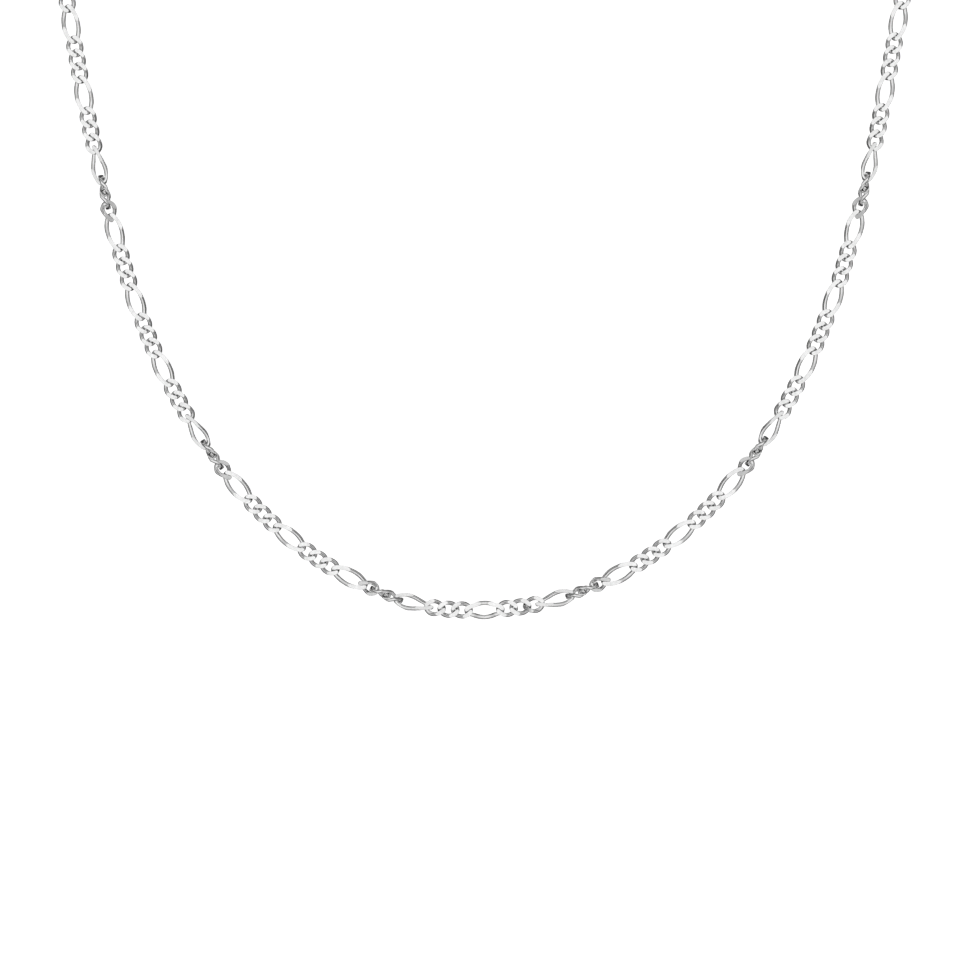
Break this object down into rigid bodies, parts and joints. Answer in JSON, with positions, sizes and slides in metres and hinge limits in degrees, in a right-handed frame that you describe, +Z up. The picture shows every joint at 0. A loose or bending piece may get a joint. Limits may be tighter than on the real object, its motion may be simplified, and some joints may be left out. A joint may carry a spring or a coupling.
{
  "type": "curb chain necklace",
  "caption": "Figaro-pattern curb chain necklace in polished silver: short flat links broken by long ones, hanging as worn in a deep U, closed at the nape by a plain ring clasp.",
  "frame": {"origin": "the nape of the neck, midway between the two holds of the chain in the clasp", "axes": "+Z up, -Y the front that the viewer of the worn chain faces, +X the wearer's left"},
  "size_m": [0.1224, 0.0855, 0.1256],
  "materials": {
    "chain_silver": "polished silver with flat diamond-cut faces",
    "clasp_silver": "polished silver, round and plain"
  },
  "bodies": {
    "root": {"chain": "chain_silver", "clasp": "clasp_silver"}
  },
  "joints": []
}
